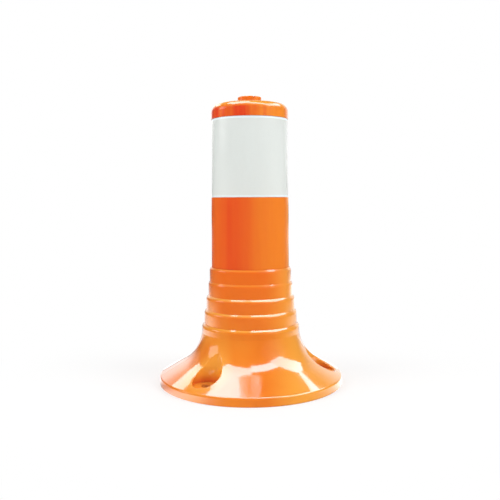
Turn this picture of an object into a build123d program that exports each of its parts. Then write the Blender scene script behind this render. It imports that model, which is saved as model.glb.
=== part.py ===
from build123d import *
import os
from math import acos, atan2, cos, hypot, pi, radians, sin, tan

os.makedirs("parts", exist_ok=True)

# Spring delineator post, in millimetres. +Z is up and the origin is on the road,
# under the post's axis. A viewer in front of the post looks along +Y.

# Post tube and its reflective band
tube_diameter = 80.0
tube_wall = 3.0
band_bottom_z = 189.6
band_height = 80.6
band_recess = 1.0
band_thickness = 0.55

# Cap and the slotted nut that pulls it down
cap_height = 15.8
cap_edge_round = 8.3
cap_roof = 5.0
cap_plug_depth = 11.0
cap_plug_wall = 5.0
cap_boss_radius = 9.0
cap_boss_depth = 7.0
seal_wire = 2.6
seal_height = 4.5
nut_radius = 12.4
nut_height = 7.6
nut_edge_round = 0.9
nut_roof = 3.4
slot_width = 2.4
slot_depth = 2.0
slot_heading = -66.0
cap_washer_radius = 11.0
cap_washer_thickness = 1.2

# Stepped neck: four steps of the boot above the collar of the base
collar_top_z = 60.4
step_height = 14.4
step_count = 4
tube_ledge = 2.2
boot_ledges = (1.3, 2.2, 2.1)
collar_ledge = 2.7
shoulder_slope = 2.5
shoulder_round = 4.3
mouth_land = 0.5
boot_wall = 3.0
boot_tail = 18.4
boot_foot_lip = 2.8
boot_foot_thickness = 2.5
boot_head_lip = 5.0
boot_head_thickness = 1.8
boot_head_overlap = 6.2
clip_thickness = 3.0
clip_height = 6.0
clip_gap = 9.0

# Flared base
base_diameter = 187.2
rim_corner_z = 8.1
rim_round = 2.4
foot_round = 0.8
flare_radius = 40.0
flare_top_z = 51.2
flare_lean = 7.0
cavity_wall = 5.0
cavity_side_z = 16.0
cavity_shoulder_z = 34.0

# Three anchor recesses, a little outward of the middle of the flare
anchor_count = 3
anchor_shift = 0.45
anchor_heading = -125.5
recess_radius = 13.5
recess_seat_z = 10.5
recess_lip_round = 1.75
scoop_bottom_z = 22.0
scoop_bend_height = 3.0
scoop_length = 20.0
scoop_lean = 17.0
anchor_hole_radius = 5.25
bush_wall = 3.0
bush_cover = 3.0

# Steel plate under the base and its screws
plate_thickness = 4.0
plate_lift = 0.5
plate_edge_clearance = 0.25
plate_margin = 9.4
flange_screw_count = 6
flange_screw_offset = 30.0
flange_screw_edge = 17.6
flange_screw_radius = 2.2
flange_screw_bite = 9.0
socket_screw_count = 4
socket_screw_heading = 45.0
socket_screw_radius = 3.0
socket_screw_bite = 8.0
screw_head_ratio = 1.9
screw_slot_width = 1.2
screw_slot_depth = 1.0

# Return spring and its two sockets
spring_wire = 7.0
spring_mean_radius = 21.0
spring_turns = 11.5
socket_wall = 4.0
socket_foot_thickness = 10.0
socket_foot_margin = 8.25
lower_socket_top_z = 48.0
upper_socket_depth = 26.0
upper_socket_roof = 6.0
clamp_flange_thickness = 4.0
clamp_flange_inset = 1.5
tube_spigot_length = 8.0
grub_count = 3
grub_first_turn = 0.5
grub_radius = 3.0
grub_hex = 3.0
grub_hex_depth = 2.2

# Tie rod from the upper socket to the slotted nut
rod_radius = 5.0
rod_nut_hex = 17.0
rod_nut_height = 8.0
rod_tail = 2.0
rod_chamfer = 0.8
rod_washer_radius = 10.0
rod_washer_thickness = 2.0

# Clearances
fit_clearance = 0.1
free_clearance = 0.3

# Radii and heights that follow from the sizes above
tube_radius = tube_diameter / 2
tube_bore = tube_radius - tube_wall
base_radius = base_diameter / 2
boot_top_z = collar_top_z + step_count * step_height
boot_radii = [tube_radius + tube_ledge]
for ledge in boot_ledges:
    boot_radii.append(boot_radii[-1] + ledge)
boot_tail_radius = boot_radii[-1]
collar_radius = boot_tail_radius + collar_ledge
boot_seat_radius = boot_tail_radius + fit_clearance
boot_seat_z = collar_top_z - boot_tail
boot_tail_bore = boot_tail_radius - boot_wall
boot_foot_bore = boot_tail_bore - boot_foot_lip
tube_bottom_z = boot_top_z - boot_head_overlap
head_lip_z = tube_bottom_z - fit_clearance - boot_head_thickness
tube_top_z = band_bottom_z + band_height
band_seat_radius = tube_radius - band_recess
cap_top_z = tube_top_z + cap_height
cap_roof_z = cap_top_z - cap_roof
nut_top_z = cap_top_z + nut_height
plate_top_z = plate_lift + plate_thickness
plate_radius = base_radius - plate_margin
anchor_edge = (base_radius - collar_radius) / 2 - anchor_shift
anchor_radius = base_radius - anchor_edge
bush_radius = anchor_hole_radius + bush_wall
bush_top_z = recess_seat_z - bush_cover
flange_screw_circle = base_radius - flange_screw_edge
flange_screw_heading = anchor_heading + flange_screw_offset
cavity_radius = anchor_radius - recess_radius - cavity_wall
spring_outer = spring_mean_radius + spring_wire / 2
socket_bore = spring_outer + free_clearance
socket_radius = socket_bore + socket_wall
socket_foot_radius = socket_radius + socket_foot_margin
socket_screw_circle = socket_radius + socket_foot_margin / 2
socket_floor_z = plate_top_z + socket_foot_thickness
clamp_flange_top_z = head_lip_z - fit_clearance
upper_mouth_z = clamp_flange_top_z - clamp_flange_thickness
upper_ceiling_z = upper_mouth_z + upper_socket_depth
upper_roof_z = upper_ceiling_z + upper_socket_roof
clamp_flange_radius = tube_radius - clamp_flange_inset
tube_plug_radius = tube_bore - fit_clearance
spigot_radius = tube_radius - boot_head_lip - free_clearance
spring_bottom_z = socket_floor_z + free_clearance + spring_wire / 2
spring_top_z = upper_ceiling_z - free_clearance - spring_wire / 2
spring_rise = spring_top_z - spring_bottom_z
lower_grub_turns = [grub_first_turn + i / grub_count for i in range(grub_count)]
upper_grub_turns = [spring_turns - turns for turns in lower_grub_turns]
rod_bottom_z = upper_ceiling_z - rod_washer_thickness - rod_nut_height - rod_tail
rod_top_z = nut_top_z - nut_roof - fit_clearance
rod_hole_radius = rod_radius + fit_clearance
UPRIGHT = (Align.CENTER, Align.CENTER, Align.MIN)


def turned(*points):
    """Face with its corners at the given radii and heights, ready to spin about the axis."""
    with BuildSketch(Plane.XZ) as section:
        with BuildLine():
            Polyline(*points, close=True)
        make_face()
    return section.sketch


def shoulder_points(radius, inner_radius, top):
    """Both ends of the round below a step's sloping shoulder, and the top of the slope."""
    slant = atan2(radius - inner_radius, shoulder_slope)
    run = shoulder_round * tan(slant / 2)
    corner = Vector(radius, top - shoulder_slope)
    return corner - Vector(0, run), corner + run * Vector(-sin(slant), cos(slant)), Vector(inner_radius, top)


def ring_edges(piece, radius, height):
    """The round edges of a turned piece at one radius and height."""
    rings = piece.edges().filter_by(GeomType.CIRCLE)
    return rings.filter_by(lambda e: hypot(e.radius - radius, e.arc_center.Z - height) < 0.01)


def radial_plane(heading, radius, height):
    """Plane that faces outward from the axis at one heading, in radians."""
    outward = (cos(heading), sin(heading), 0)
    return Plane(origin=(radius * cos(heading), radius * sin(heading), height), z_dir=outward)


def helix_point(turns):
    """Centre of the spring wire after this many turns."""
    angle = 2 * pi * turns
    return Vector(
        spring_mean_radius * cos(angle),
        spring_mean_radius * sin(angle),
        spring_bottom_z + spring_rise * turns / spring_turns,
    )


def helix_tangent(turns):
    """Direction of the spring wire after this many turns."""
    angle = 2 * pi * turns
    climb = spring_rise / spring_turns / (2 * pi)
    return Vector(-spring_mean_radius * sin(angle), spring_mean_radius * cos(angle), climb).normalized()


# Base flange: one moulding with rim, flare, collar, anchor recesses and a hollow under the collar
lean = radians(flare_lean)
flare_centre = Vector(collar_radius, flare_top_z) + flare_radius * Vector(cos(lean), sin(lean))
to_rim = Vector(base_radius, rim_corner_z) - flare_centre
tangent_angle = atan2(to_rim.Y, to_rim.X) - acos(flare_radius / to_rim.length)
flare_foot = flare_centre + flare_radius * Vector(cos(tangent_angle), sin(tangent_angle))
flare_slope = (flare_foot.Y - rim_corner_z) / (base_radius - flare_foot.X)
recess_front_z = rim_corner_z + flare_slope * (anchor_edge - recess_radius)
lip_round = min(recess_lip_round, 0.75 * (recess_front_z - recess_seat_z))

# Cutter for one anchor recess: an upright bore whose wall leans back where it climbs the flare
scoop_width = scoop_bend_height * tan(radians(scoop_lean) / 2)
with BuildPart() as recess_cutter:
    with BuildSketch(Plane.XZ):
        with BuildLine():
            bore = Polyline((0, recess_seat_z), (recess_radius, recess_seat_z), (recess_radius, scoop_bottom_z))
            scoop_end = (recess_radius + scoop_width, scoop_bottom_z + scoop_bend_height)
            bend = TangentArc(bore @ 1, scoop_end, tangent=(0, 1))
            wall = Line(bend @ 1, bend @ 1 + scoop_length * (bend % 1))
            Polyline(wall @ 1, (0, (wall @ 1).Y), bore @ 0)
        make_face()
    revolve(axis=Axis.Z)

with BuildPart() as base_flange:
    with BuildSketch(Plane.XZ):
        with BuildLine():
            foot = Line((plate_radius + plate_edge_clearance, 0), (base_radius, 0))
            rim = Line(foot @ 1, (base_radius, rim_corner_z))
            slope = Line(rim @ 1, (flare_foot.X, flare_foot.Y))
            flare = TangentArc(slope @ 1, (collar_radius, flare_top_z), tangent=slope % 1)
            low, high, mouth = shoulder_points(collar_radius, boot_seat_radius + mouth_land, collar_top_z)
            collar = Line(flare @ 1, low)
            TangentArc(collar @ 1, high, tangent=(0, 1))
            Polyline(
                high,
                mouth,
                (boot_seat_radius, collar_top_z),
                (boot_seat_radius, boot_seat_z),
                (boot_foot_bore, boot_seat_z),
                (boot_foot_bore, cavity_shoulder_z),
                (cavity_radius, cavity_side_z),
                (cavity_radius, plate_top_z),
                (plate_radius + plate_edge_clearance, plate_top_z),
                foot @ 0,
            )
        make_face()
    revolve(axis=Axis.Z)
    with PolarLocations(anchor_radius, anchor_count, start_angle=anchor_heading):
        add(recess_cutter.part, mode=Mode.SUBTRACT)
    lips = [e for e in base_flange.edges() if e.geom_type not in (GeomType.LINE, GeomType.CIRCLE)]
    fillet(lips, radius=lip_round)
    fillet(ring_edges(base_flange, base_radius, rim_corner_z), radius=rim_round)
    fillet(ring_edges(base_flange, base_radius, 0), radius=foot_round)
    with BuildSketch(Plane.XY):
        with PolarLocations(anchor_radius, anchor_count, start_angle=anchor_heading):
            Circle(anchor_hole_radius)
    extrude(amount=recess_seat_z, mode=Mode.SUBTRACT)
    with BuildSketch(Plane.XY.offset(plate_top_z)):
        with PolarLocations(anchor_radius, anchor_count, start_angle=anchor_heading):
            Circle(bush_radius + fit_clearance)
    extrude(amount=bush_top_z - plate_top_z, mode=Mode.SUBTRACT)
    with BuildSketch(Plane.XY.offset(plate_top_z)):
        with PolarLocations(flange_screw_circle, flange_screw_count, start_angle=flange_screw_heading):
            Circle(flange_screw_radius + fit_clearance)
    extrude(amount=flange_screw_bite + fit_clearance, mode=Mode.SUBTRACT)
base_flange.part.label = "base_flange"
export_step(base_flange.part, "parts/base_flange.step")

# Anchor bushes: steel sleeves that take the bolts' clamping load
with BuildPart() as anchor_bushes:
    with BuildSketch(Plane.XY.offset(plate_top_z)):
        with PolarLocations(anchor_radius, anchor_count, start_angle=anchor_heading):
            Circle(bush_radius)
            Circle(anchor_hole_radius, mode=Mode.SUBTRACT)
    extrude(amount=bush_top_z - plate_top_z)
anchor_bushes.part.label = "anchor_bushes"
export_step(anchor_bushes.part, "parts/anchor_bushes.step")

# Base plate: steel disc under the flange, countersunk from below for both sets of screws
flange_screw_head = screw_head_ratio * flange_screw_radius
socket_screw_head = screw_head_ratio * socket_screw_radius
with BuildPart() as base_plate:
    with BuildSketch(Plane.XY.offset(plate_lift)):
        Circle(plate_radius)
        with PolarLocations(anchor_radius, anchor_count, start_angle=anchor_heading):
            Circle(anchor_hole_radius, mode=Mode.SUBTRACT)
        with PolarLocations(flange_screw_circle, flange_screw_count, start_angle=flange_screw_heading):
            Circle(flange_screw_radius + fit_clearance, mode=Mode.SUBTRACT)
        with PolarLocations(socket_screw_circle, socket_screw_count, start_angle=socket_screw_heading):
            Circle(socket_screw_radius + fit_clearance, mode=Mode.SUBTRACT)
    extrude(amount=plate_thickness)
    with Locations((0, 0, plate_lift)):
        with PolarLocations(flange_screw_circle, flange_screw_count, start_angle=flange_screw_heading):
            Cone(
                flange_screw_head + fit_clearance,
                flange_screw_radius + fit_clearance,
                flange_screw_head - flange_screw_radius,
                align=UPRIGHT,
                mode=Mode.SUBTRACT,
            )
        with PolarLocations(socket_screw_circle, socket_screw_count, start_angle=socket_screw_heading):
            Cone(
                socket_screw_head + fit_clearance,
                socket_screw_radius + fit_clearance,
                socket_screw_head - socket_screw_radius,
                align=UPRIGHT,
                mode=Mode.SUBTRACT,
            )
base_plate.part.label = "base_plate"
export_step(base_plate.part, "parts/base_plate.step")

# Flange screws: countersunk screws that hold the plate up to the flange
with BuildPart() as flange_screws:
    with Locations((0, 0, plate_lift)):
        with PolarLocations(flange_screw_circle, flange_screw_count, start_angle=flange_screw_heading):
            Cone(
                flange_screw_head,
                flange_screw_radius,
                flange_screw_head - flange_screw_radius,
                align=UPRIGHT,
            )
            Cylinder(flange_screw_radius, plate_thickness + flange_screw_bite, align=UPRIGHT)
            Box(2 * flange_screw_head, screw_slot_width, screw_slot_depth, align=UPRIGHT, mode=Mode.SUBTRACT)
flange_screws.part.label = "flange_screws"
export_step(flange_screws.part, "parts/flange_screws.step")

# Lower spring socket: footed cup that holds the spring's bottom turns
with BuildPart() as lower_spring_socket:
    revolve(
        turned(
            (0, plate_top_z),
            (socket_foot_radius, plate_top_z),
            (socket_foot_radius, socket_floor_z),
            (socket_radius, socket_floor_z),
            (socket_radius, lower_socket_top_z),
            (socket_bore, lower_socket_top_z),
            (socket_bore, socket_floor_z),
            (0, socket_floor_z),
        ),
        axis=Axis.Z,
    )
    with BuildSketch(Plane.XY.offset(plate_top_z)):
        with PolarLocations(socket_screw_circle, socket_screw_count, start_angle=socket_screw_heading):
            Circle(socket_screw_radius + fit_clearance)
    extrude(amount=socket_screw_bite + fit_clearance, mode=Mode.SUBTRACT)
    for turns in lower_grub_turns:
        with BuildSketch(radial_plane(2 * pi * turns, spring_mean_radius, helix_point(turns).Z)):
            Circle(grub_radius + fit_clearance)
        extrude(amount=socket_foot_radius, mode=Mode.SUBTRACT)
lower_spring_socket.part.label = "lower_spring_socket"
export_step(lower_spring_socket.part, "parts/lower_spring_socket.step")

# Socket screws: countersunk screws from under the plate into the socket's foot
with BuildPart() as socket_screws:
    with Locations((0, 0, plate_lift)):
        with PolarLocations(socket_screw_circle, socket_screw_count, start_angle=socket_screw_heading):
            Cone(
                socket_screw_head,
                socket_screw_radius,
                socket_screw_head - socket_screw_radius,
                align=UPRIGHT,
            )
            Cylinder(socket_screw_radius, plate_thickness + socket_screw_bite, align=UPRIGHT)
            Box(2 * socket_screw_head, screw_slot_width, screw_slot_depth, align=UPRIGHT, mode=Mode.SUBTRACT)
socket_screws.part.label = "socket_screws"
export_step(socket_screws.part, "parts/socket_screws.step")

# Lower grub screws: lock the spring's bottom turns in their socket
with BuildPart() as lower_grub_screws:
    for turns in lower_grub_turns:
        with BuildSketch(radial_plane(2 * pi * turns, socket_bore, helix_point(turns).Z)):
            Circle(grub_radius)
        extrude(amount=socket_wall)
        with BuildSketch(radial_plane(2 * pi * turns, socket_radius, helix_point(turns).Z)):
            RegularPolygon(grub_hex / 2, 6, major_radius=False)
        extrude(amount=-grub_hex_depth, mode=Mode.SUBTRACT)
lower_grub_screws.part.label = "lower_grub_screws"
export_step(lower_grub_screws.part, "parts/lower_grub_screws.step")

# Neck boot: elastic sleeve with the visible steps, seated in the collar and under the tube
boot_steps = []
boot_inside = [
    (boot_foot_bore, boot_seat_z + boot_foot_thickness),
    (boot_tail_bore, boot_seat_z + boot_foot_thickness),
]
for step in range(step_count):
    step_radius = boot_radii[step_count - 1 - step]
    shoulder_z = collar_top_z + (step + 1) * step_height
    if step < step_count - 1:
        inner_radius = boot_radii[step_count - 2 - step]
        boot_inside.append((step_radius - boot_wall, shoulder_z - boot_wall))
        boot_inside.append((inner_radius - boot_wall, shoulder_z - boot_wall))
    else:
        inner_radius = tube_radius + free_clearance + mouth_land
    boot_steps.append((step_radius, inner_radius, shoulder_z))
boot_head = [
    (tube_radius + free_clearance, boot_top_z),
    (tube_radius + free_clearance, head_lip_z + boot_head_thickness),
    (tube_radius - boot_head_lip, head_lip_z + boot_head_thickness),
    (tube_radius - boot_head_lip, head_lip_z),
    (boot_radii[0] - boot_wall, head_lip_z),
]
with BuildPart() as neck_boot:
    with BuildSketch(Plane.XZ):
        with BuildLine():
            foot = Line((boot_foot_bore, boot_seat_z), (boot_tail_radius, boot_seat_z))
            corner = foot @ 1
            for step_radius, inner_radius, shoulder_z in boot_steps:
                low, high, top = shoulder_points(step_radius, inner_radius, shoulder_z)
                side = Line(corner, low)
                TangentArc(side @ 1, high, tangent=(0, 1))
                Line(high, top)
                corner = top
            Polyline(corner, *boot_head, *reversed(boot_inside), foot @ 0)
        make_face()
    revolve(axis=Axis.Z)
neck_boot.part.label = "neck_boot"
export_step(neck_boot.part, "parts/neck_boot.step")

# Boot clip: split ring that springs outward and holds the boot's foot in the collar
clip_radius = boot_tail_bore - fit_clearance
clip_bottom_z = boot_seat_z + boot_foot_thickness
with BuildPart() as boot_clip:
    with BuildSketch(Plane.XY.offset(clip_bottom_z)):
        Circle(clip_radius)
        Circle(clip_radius - clip_thickness, mode=Mode.SUBTRACT)
        with Locations((0, clip_radius)):
            Rectangle(clip_gap, 4 * clip_thickness, mode=Mode.SUBTRACT)
    extrude(amount=clip_height)
boot_clip.part.label = "boot_clip"
export_step(boot_clip.part, "parts/boot_clip.step")

# Return spring: one wire wound from the lower socket's floor to the upper socket's ceiling
span_count = round(4 * spring_turns)
wire_points = [helix_point(spring_turns * i / span_count) for i in range(span_count + 1)]
wire_tangents = [helix_tangent(spring_turns * i / span_count) for i in range(span_count + 1)]
with BuildPart() as return_spring:
    with BuildLine() as wire_path:
        for start, end, leave, arrive in zip(wire_points, wire_points[1:], wire_tangents, wire_tangents[1:]):
            chord = end - start
            bend = 2 * leave.dot(arrive) - 2
            along = chord.dot(leave + arrive)
            reach = (along - (along**2 - bend * chord.dot(chord)) ** 0.5) / bend
            middle = (start + end + reach * (leave - arrive)) / 2
            first = TangentArc(start, middle, tangent=leave)
            TangentArc(middle, end, tangent=first % 1)
    with BuildSketch(Plane(origin=wire_path.line @ 0, z_dir=wire_path.line % 0)):
        Circle(spring_wire / 2)
    sweep(path=wire_path.line)
return_spring.part.label = "return_spring"
export_step(return_spring.part, "parts/return_spring.step")

samples_per_turn = 48
samples = [helix_point(i / samples_per_turn) for i in range(round(spring_turns * samples_per_turn) + 1)]
half_turn = samples_per_turn // 2
least_gap = min(
    (samples[i] - samples[j]).length
    for i in range(len(samples))
    for j in range(i + half_turn, min(i + 3 * half_turn, len(samples)))
)
print("return spring: least gap between turns", round(least_gap - spring_wire, 2), "mm")
wire_length = sum(edge.length for edge in wire_path.edges())
wire_share = return_spring.part.volume / (pi * spring_wire**2 / 4 * wire_length)
print("return spring: volume over section times length", round(wire_share, 4))

# Upper spring socket: plug in the tube's foot, with a clamping flange below the tube's end
with BuildPart() as upper_spring_socket:
    revolve(
        turned(
            (socket_bore, upper_mouth_z),
            (clamp_flange_radius, upper_mouth_z),
            (clamp_flange_radius, clamp_flange_top_z),
            (spigot_radius, clamp_flange_top_z),
            (spigot_radius, tube_bottom_z),
            (tube_plug_radius, tube_bottom_z),
            (tube_plug_radius, tube_bottom_z + tube_spigot_length),
            (socket_radius, tube_bottom_z + tube_spigot_length),
            (socket_radius, upper_ceiling_z),
            (tube_plug_radius, upper_ceiling_z),
            (tube_plug_radius, upper_roof_z),
            (rod_hole_radius, upper_roof_z),
            (rod_hole_radius, upper_ceiling_z),
            (socket_bore, upper_ceiling_z),
        ),
        axis=Axis.Z,
    )
    for turns in upper_grub_turns:
        with BuildSketch(radial_plane(2 * pi * turns, spring_mean_radius, helix_point(turns).Z)):
            Circle(grub_radius + fit_clearance)
        extrude(amount=tube_radius, mode=Mode.SUBTRACT)
upper_spring_socket.part.label = "upper_spring_socket"
export_step(upper_spring_socket.part, "parts/upper_spring_socket.step")

# Upper grub screws: lock the spring's top turns in their socket
with BuildPart() as upper_grub_screws:
    for turns in upper_grub_turns:
        with BuildSketch(radial_plane(2 * pi * turns, socket_bore, helix_point(turns).Z)):
            Circle(grub_radius)
        extrude(amount=socket_wall)
        with BuildSketch(radial_plane(2 * pi * turns, socket_radius, helix_point(turns).Z)):
            RegularPolygon(grub_hex / 2, 6, major_radius=False)
        extrude(amount=-grub_hex_depth, mode=Mode.SUBTRACT)
upper_grub_screws.part.label = "upper_grub_screws"
export_step(upper_grub_screws.part, "parts/upper_grub_screws.step")

# Post tube: moulded tube, turned down at the top to take the band
with BuildPart() as post_tube:
    revolve(
        turned(
            (tube_bore, tube_bottom_z),
            (tube_radius, tube_bottom_z),
            (tube_radius, band_bottom_z),
            (band_seat_radius, band_bottom_z),
            (band_seat_radius, tube_top_z),
            (tube_bore, tube_top_z),
        ),
        axis=Axis.Z,
    )
post_tube.part.label = "post_tube"
export_step(post_tube.part, "parts/post_tube.step")

# Reflective band: sleeve in the tube's recess, held down by the cap
with BuildPart() as reflective_band:
    with BuildSketch(Plane.XY.offset(band_bottom_z + fit_clearance)):
        Circle(band_seat_radius + fit_clearance + band_thickness)
        Circle(band_seat_radius + fit_clearance, mode=Mode.SUBTRACT)
    extrude(amount=band_height - 2 * fit_clearance)
reflective_band.part.label = "reflective_band"
export_step(reflective_band.part, "parts/reflective_band.step")

# Tie rod: clamps the tube between the cap and the upper socket
with BuildPart() as tie_rod:
    with BuildSketch(Plane.XY.offset(rod_bottom_z)):
        Circle(rod_radius)
    extrude(amount=rod_top_z - rod_bottom_z)
    chamfer(tie_rod.edges().filter_by(GeomType.CIRCLE), length=rod_chamfer)
tie_rod.part.label = "tie_rod"
export_step(tie_rod.part, "parts/tie_rod.step")

# Tie rod washers and nuts: one pair under the socket's roof and one pair on it
with BuildPart() as tie_rod_washers:
    for bottom_z in (upper_ceiling_z - rod_washer_thickness, upper_roof_z):
        with BuildSketch(Plane.XY.offset(bottom_z)):
            Circle(rod_washer_radius)
            Circle(rod_hole_radius, mode=Mode.SUBTRACT)
        extrude(amount=rod_washer_thickness)
tie_rod_washers.part.label = "tie_rod_washers"
export_step(tie_rod_washers.part, "parts/tie_rod_washers.step")

with BuildPart() as tie_rod_nuts:
    lower_nut_z = upper_ceiling_z - rod_washer_thickness - rod_nut_height
    upper_nut_z = upper_roof_z + rod_washer_thickness
    for bottom_z in (lower_nut_z, upper_nut_z):
        with BuildSketch(Plane.XY.offset(bottom_z)):
            RegularPolygon(rod_nut_hex / 2, 6, major_radius=False)
            Circle(rod_hole_radius, mode=Mode.SUBTRACT)
        extrude(amount=rod_nut_height)
tie_rod_nuts.part.label = "tie_rod_nuts"
export_step(tie_rod_nuts.part, "parts/tie_rod_nuts.step")

# Top cap: domed edge, hollow plug in the tube, boss for the rod
plug_bottom_z = tube_top_z - cap_plug_depth
plug_bore = tube_plug_radius - cap_plug_wall
cap_boss_z = cap_roof_z - cap_boss_depth
washer_seat_radius = cap_washer_radius + fit_clearance
washer_seat_z = cap_top_z - cap_washer_thickness
seal_z = tube_top_z - seal_height
seal_bottom_radius = tube_bore - seal_wire - 2 * fit_clearance
with BuildPart() as top_cap:
    revolve(
        turned(
            (plug_bore, plug_bottom_z),
            (tube_plug_radius, plug_bottom_z),
            (tube_plug_radius, tube_top_z),
            (tube_radius, tube_top_z),
            (tube_radius, cap_top_z),
            (washer_seat_radius, cap_top_z),
            (washer_seat_radius, washer_seat_z),
            (rod_hole_radius, washer_seat_z),
            (rod_hole_radius, cap_boss_z),
            (cap_boss_radius, cap_boss_z),
            (cap_boss_radius, cap_roof_z),
            (plug_bore, cap_roof_z),
        ),
        axis=Axis.Z,
    )
    fillet(ring_edges(top_cap, tube_radius, cap_top_z), radius=cap_edge_round)
    with BuildSketch(Plane.XY.offset(seal_z - seal_wire / 2 - fit_clearance)):
        Circle(tube_bore)
        Circle(seal_bottom_radius, mode=Mode.SUBTRACT)
    extrude(amount=seal_wire + 2 * fit_clearance, mode=Mode.SUBTRACT)
top_cap.part.label = "top_cap"
export_step(top_cap.part, "parts/top_cap.step")

# Cap seal: rubber ring in the plug's groove
with BuildPart() as cap_seal:
    with Locations((0, 0, seal_z)):
        Torus(tube_bore - fit_clearance - seal_wire / 2, seal_wire / 2)
cap_seal.part.label = "cap_seal"
export_step(cap_seal.part, "parts/cap_seal.step")

# Cap washer: sealing washer sunk in the cap, under the nut
with BuildPart() as cap_washer:
    with BuildSketch(Plane.XY.offset(washer_seat_z)):
        Circle(cap_washer_radius)
        Circle(rod_hole_radius, mode=Mode.SUBTRACT)
    extrude(amount=cap_washer_thickness)
cap_washer.part.label = "cap_washer"
export_step(cap_washer.part, "parts/cap_washer.step")

# Cap nut: round moulded nut with a slot for a wide blade
with BuildPart() as cap_nut:
    with BuildSketch(Plane.XY.offset(cap_top_z)):
        Circle(nut_radius)
    extrude(amount=nut_height)
    fillet(ring_edges(cap_nut, nut_radius, nut_top_z), radius=nut_edge_round)
    with BuildSketch(Plane.XY.offset(cap_top_z)):
        Circle(rod_hole_radius)
    extrude(amount=nut_height - nut_roof, mode=Mode.SUBTRACT)
    with BuildSketch(Plane.XY.offset(nut_top_z)):
        Rectangle(2 * nut_radius, slot_width, rotation=slot_heading)
    extrude(amount=-slot_depth, mode=Mode.SUBTRACT)
cap_nut.part.label = "cap_nut"
export_step(cap_nut.part, "parts/cap_nut.step")
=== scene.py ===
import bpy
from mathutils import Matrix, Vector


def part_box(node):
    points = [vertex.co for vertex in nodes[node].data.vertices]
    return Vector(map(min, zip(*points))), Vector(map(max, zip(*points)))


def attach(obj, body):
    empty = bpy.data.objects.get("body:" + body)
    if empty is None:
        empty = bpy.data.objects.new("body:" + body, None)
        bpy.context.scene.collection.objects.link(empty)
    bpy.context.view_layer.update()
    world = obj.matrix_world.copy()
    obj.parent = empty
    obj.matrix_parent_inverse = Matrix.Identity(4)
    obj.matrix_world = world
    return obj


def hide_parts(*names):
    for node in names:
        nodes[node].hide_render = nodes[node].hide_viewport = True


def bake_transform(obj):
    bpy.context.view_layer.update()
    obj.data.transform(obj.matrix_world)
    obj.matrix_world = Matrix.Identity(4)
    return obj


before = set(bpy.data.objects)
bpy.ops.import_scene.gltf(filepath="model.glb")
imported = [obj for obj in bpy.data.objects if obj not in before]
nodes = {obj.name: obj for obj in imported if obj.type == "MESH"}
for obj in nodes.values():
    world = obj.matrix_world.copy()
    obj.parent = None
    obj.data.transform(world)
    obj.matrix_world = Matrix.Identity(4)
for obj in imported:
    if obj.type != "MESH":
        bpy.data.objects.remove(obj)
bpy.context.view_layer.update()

from math import atan2, cos, pi, radians, sin, tan

import bmesh
import bpy
from bpy.props import FloatProperty, FloatVectorProperty, IntProperty, PointerProperty
from bpy.types import Operator, Panel, PropertyGroup
from mathutils import Matrix, Vector

bl_info = {
    "name": "Spring delineator post",
    "version": (1, 0, 0),
    "blender": (4, 5, 0),
    "location": "3D View > Sidebar > Delineator",
    "description": "Dresses the packed delineator post and sets its studio",
    "category": "Object",
}

MM = 0.001
TURN = 2 * pi
# How close a point lies to a ring or plane that it belongs to, and how close points become one
NEAR = 0.01 * MM
MERGE = 0.001 * MM
NECK_STEPS = 4
SHOULDER_SEGMENTS = 8
WIRE_FACETS = 16
WIRE_STEPS = 48
LAP_STEPS = 8
# Room between the tube and the boot's mouth, and over the boot's lip
MOUTH_GAP = 0.3 * MM
LIP_GAP = 0.1 * MM
# Glue behind the sheeting, and the round of its rims
GLUE = 0.05 * MM
RIM_ROUND = 0.1 * MM
# Middles of the three anchor recesses: distance from the axis, and headings in degrees
RECESS_RADIUS = 72.5 * MM
RECESS_HEADINGS = (-125.5, -5.5, 114.5)
# How dark the sheeting's clouds and painted shade, and turned grooves, are as shares of the clean colour
CLOUD_AND_TOP_SHADE = 0.72
GROOVE_SHADE = 0.8
# Share, first colour, second colour and result among the sockets of a node that mixes colours
SHARE, FIRST, SECOND, MIXED = 0, 6, 7, 2

LIT_POINT = (0, 0, 0.08)
LAMP_DISTANCE = 3.0
CEILING_HEIGHT = 2.48
FLOOR_REACH = 20.0
# Softboxes that light the post: azimuth, elevation, width and height in metres, and level on a white card
SOFT_BOXES = (
    ("Right softbox", 66, 40, 1.25, 1.5, 0.38),
    ("Left softbox", -70, 40, 1.25, 1.5, 0.31),
)
# Bright panels under the ceiling that only show in the gloss: left, right, front and back edge, brightness
CEILING_PANELS = (
    ("Left ceiling panel", -1.50, 0.0, -0.70, 1.0, 6.8),
    ("Front ceiling panel", 0.0, 1.50, -1.0, -0.11, 8.2),
    ("Right ceiling panel", 1.50, 3.05, -1.2, 2.05, 6.2),
)
# Cool tint of those panels
PANEL_COLOUR = (0.90, 0.84, 1.0)
# Cards round the post that only show in the gloss: azimuth, elevation, width, height and brightness
GLOSS_CARDS = (
    ("Left card", -91, 22, 1.25, 1.05, 1.6),
    ("Back left card", -141, 36, 1.1, 0.6, 3.0),
)
# Pale parts of the backdrop in the gloss: azimuth, elevation, reach in degrees and brightness
BACKDROP_GLOWS = (
    (165, 6, 40, 1.0),
    (196, 16, 22, 1.1),
    (213, 25, 20, 0.5),
    (55, 25, 35, 0.25),
)
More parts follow.
